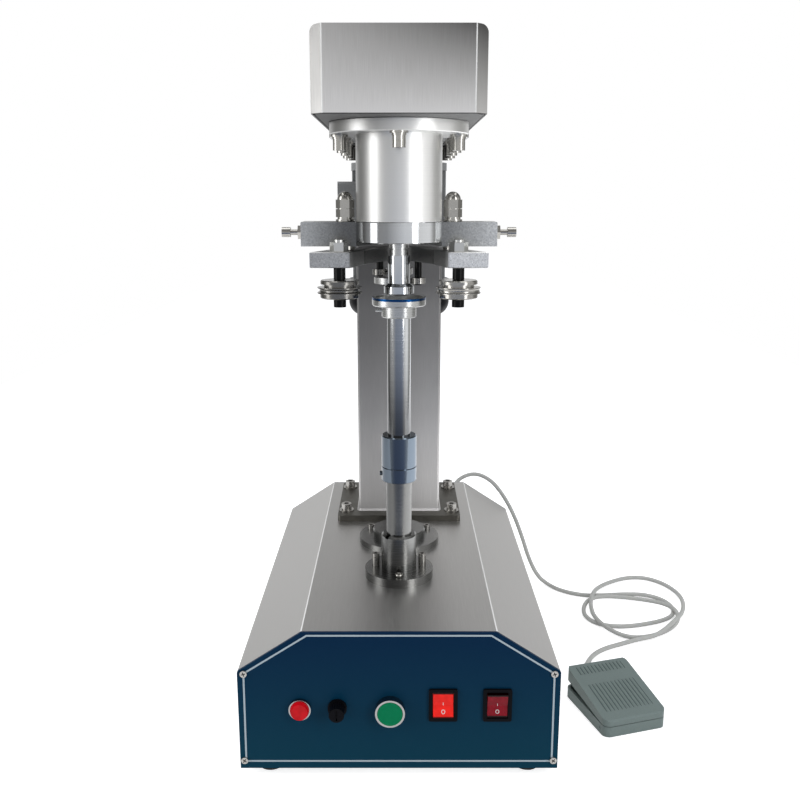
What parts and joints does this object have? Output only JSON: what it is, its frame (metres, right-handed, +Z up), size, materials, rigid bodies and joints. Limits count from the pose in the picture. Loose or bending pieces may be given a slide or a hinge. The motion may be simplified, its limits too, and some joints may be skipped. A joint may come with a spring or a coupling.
{
  "type": "desktop can seamer",
  "caption": "Desktop can seamer: box base with controls, column, driven chuck over a lifting tray, and roller arms beside it, with a foot pedal on its cord.",
  "frame": {"origin": "on the bench, at the middle of the machine and its pedal, cord left out", "axes": "+Z up, +X to the operator's right, +Y to the rear"},
  "size_m": [0.5799, 0.6166, 0.7232],
  "materials": {
    "brushed_stainless": "brushed along its length",
    "panel_blue": "satin paint with a thin pale line",
    "plain_sheet": "satin paint",
    "turned_steel": "turned, with fine rings",
    "polished_steel": "polished",
    "satin_plate": "milled, satin",
    "column_grey": "satin, brushed upward",
    "dark_plate": "oiled dark plate",
    "screw_steel": "plated",
    "cast_grey": "painted casting",
    "black_plastic": "moulded",
    "black_rubber": "matt",
    "red_lens": "clear red, glossy",
    "red_rocker": "clear red, lit from behind",
    "green_button": "smooth",
    "bezel_chrome": "polished",
    "bronze": "plain",
    "pedal_green": "fine grain",
    "cord_grey": "smooth, light grey"
  },
  "bodies": {
    "machine": {"base_housing": "brushed_stainless", "front_panel": "panel_blue", "back_panel": "plain_sheet", "base_floor": "plain_sheet", "rubber_feet": "black_rubber", "panel_bezels": "bezel_chrome", "lamp_lens": "red_lens", "fuse_holder": "black_plastic", "switch_frames": "black_plastic", "column_plate": "dark_plate", "column": "column_grey", "gearbox_cap": "turned_steel", "base_screws": "screw_steel", "lift_guide": "turned_steel", "lift_gearmotor": "cast_grey", "head_plate": "satin_plate", "head_cover": "brushed_stainless", "spindle_housing": "turned_steel", "housing_ring": "polished_steel", "head_fasteners": "screw_steel", "spindle_bearings": "bronze", "drive_belt": "black_rubber", "motor_body": "cast_grey", "fan_cover": "black_plastic", "cam_housing": "turned_steel", "cam_gearmotor": "cast_grey", "side_bars": "satin_plate", "pedal_base": "pedal_green", "cord_glands": "black_plastic", "cord_run_a": "cord_grey", "cord_run_b": "cord_grey", "cord_coil": "cord_grey"},
    "spindle": {"spindle": "turned_steel", "seaming_chuck": "polished_steel", "spindle_pulley": "cast_grey"},
    "motor_shaft": {"motor_rotor": "turned_steel", "motor_pulley": "cast_grey"},
    "lift": {"lift_tube": "polished_steel", "height_sleeve": "turned_steel"},
    "lift_cam": {"lift_cam": "satin_plate"},
    "rod": {"centre_rod": "polished_steel", "tray_collar": "turned_steel"},
    "tray": {"can_tray": "turned_steel"},
    "left_pivot": {"left_pivot": "polished_steel"},
    "right_pivot": {"right_pivot": "polished_steel"},
    "left_arm": {"left_arm": "satin_plate", "left_arm_pins": "polished_steel"},
    "right_arm": {"right_arm": "satin_plate", "right_arm_pins": "polished_steel"},
    "left_roller": {"left_roller": "polished_steel"},
    "right_roller": {"right_roller": "polished_steel"},
    "left_follower": {"left_follower": "turned_steel"},
    "right_follower": {"right_follower": "turned_steel"},
    "cams": {"camshaft": "turned_steel", "seaming_cams": "satin_plate"},
    "jog_button": {"jog_button": "green_button"},
    "power_rocker": {"power_rocker": "red_rocker"},
    "auto_rocker": {"auto_rocker": "red_rocker"},
    "fuse_cap": {"fuse_cap": "black_plastic"},
    "pedal_treadle": {"pedal_treadle": "pedal_green"}
  },
  "joints": [
    {"name": "spindle_spin", "type": "hinge", "parent": "machine", "child": "spindle", "pos_m": [-0.06704, -0.15375, 0.549], "axis": [0, 0, 1], "continuous": true},
    {"name": "motor_spin", "type": "hinge", "parent": "machine", "child": "motor_shaft", "pos_m": [-0.06704, 0.21825, 0.6345], "axis": [0, 0, 1], "continuous": true},
    {"name": "lift_slide", "type": "slide", "parent": "machine", "child": "lift", "axis": [0, 0, 1], "range_m": [-0.017, 0.003]},
    {"name": "lift_cam_turn", "type": "hinge", "parent": "machine", "child": "lift_cam", "pos_m": [-0.06704, -0.15375, 0.04598], "axis": [0, -1, 0], "range_deg": [-102.1, 18.1]},
    {"name": "rod_height", "type": "slide", "parent": "lift", "child": "rod", "axis": [0, 0, 1], "range_m": [-0.115, 0]},
    {"name": "tray_spin", "type": "hinge", "parent": "rod", "child": "tray", "pos_m": [-0.06704, -0.15375, 0.4623], "axis": [0, 0, 1], "continuous": true},
    {"name": "left_set_out", "type": "slide", "parent": "machine", "child": "left_pivot", "axis": [-1, 0, 0], "range_m": [0, 0.025]},
    {"name": "right_set_out", "type": "slide", "parent": "machine", "child": "right_pivot", "axis": [1, 0, 0], "range_m": [0, 0.025]},
    {"name": "left_arm_swing", "type": "hinge", "parent": "left_pivot", "child": "left_arm", "pos_m": [-0.12364, -0.13175, 0.5025], "axis": [0, 0, 1], "range_deg": [0, 12]},
    {"name": "right_arm_swing", "type": "hinge", "parent": "right_pivot", "child": "right_arm", "pos_m": [-0.01044, -0.13175, 0.5025], "axis": [0, 0, -1], "range_deg": [0, 12], "stiffness_Nm_per_rad": 3, "springref_deg": -2.86},
    {"name": "cam_turn", "type": "hinge", "parent": "machine", "child": "cams", "pos_m": [-0.06704, -0.06175, 0.6465], "axis": [0, 0, 1], "range_deg": [0, 90.1]},
    {"name": "left_roller_spin", "type": "hinge", "parent": "left_arm", "child": "left_roller", "pos_m": [-0.12854, -0.16175, 0.4707], "axis": [0, 0, 1], "continuous": true},
    {"name": "right_roller_spin", "type": "hinge", "parent": "right_arm", "child": "right_roller", "pos_m": [-0.00554, -0.16175, 0.4707], "axis": [0, 0, 1], "continuous": true},
    {"name": "left_follower_spin", "type": "hinge", "parent": "left_arm", "child": "left_follower", "pos_m": [-0.08904, -0.06175, 0.486], "axis": [0, 0, 1], "continuous": true},
    {"name": "right_follower_spin", "type": "hinge", "parent": "right_arm", "child": "right_follower", "pos_m": [-0.04504, -0.06175, 0.476], "axis": [0, 0, 1], "continuous": true},
    {"name": "jog_press", "type": "slide", "parent": "machine", "child": "jog_button", "axis": [0, 1, 0], "range_m": [0, 0.003], "stiffness_N_per_m": 500, "springref_m": -0.001},
    {"name": "power_switch", "type": "hinge", "parent": "machine", "child": "power_rocker", "pos_m": [-0.02314, -0.29225, 0.0813], "axis": [1, 0, 0], "range_deg": [0, 16]},
    {"name": "auto_switch", "type": "hinge", "parent": "machine", "child": "auto_rocker", "pos_m": [0.03076, -0.29225, 0.0813], "axis": [-1, 0, 0], "range_deg": [0, 16]},
    {"name": "fuse_pull", "type": "slide", "parent": "machine", "child": "fuse_cap", "axis": [0, -1, 0], "range_m": [0, 0.022]},
    {"name": "treadle_press", "type": "hinge", "parent": "machine", "child": "pedal_treadle", "pos_m": [0.18946, -0.20574, 0.007], "axis": [-0.9573, -0.289, 0], "range_deg": [0, 5.5], "stiffness_Nm_per_rad": 8, "springref_deg": -2.29}
  ],
  "couplings": [
    {"joint": "motor_spin", "follows": "spindle_spin", "ratio": 2},
    {"joint": "lift_cam_turn", "follows": "lift_slide", "rad_per_m": 104.72},
    {"joint": "cam_turn", "follows": "left_arm_swing", "ratio": 7.5}
  ]
}
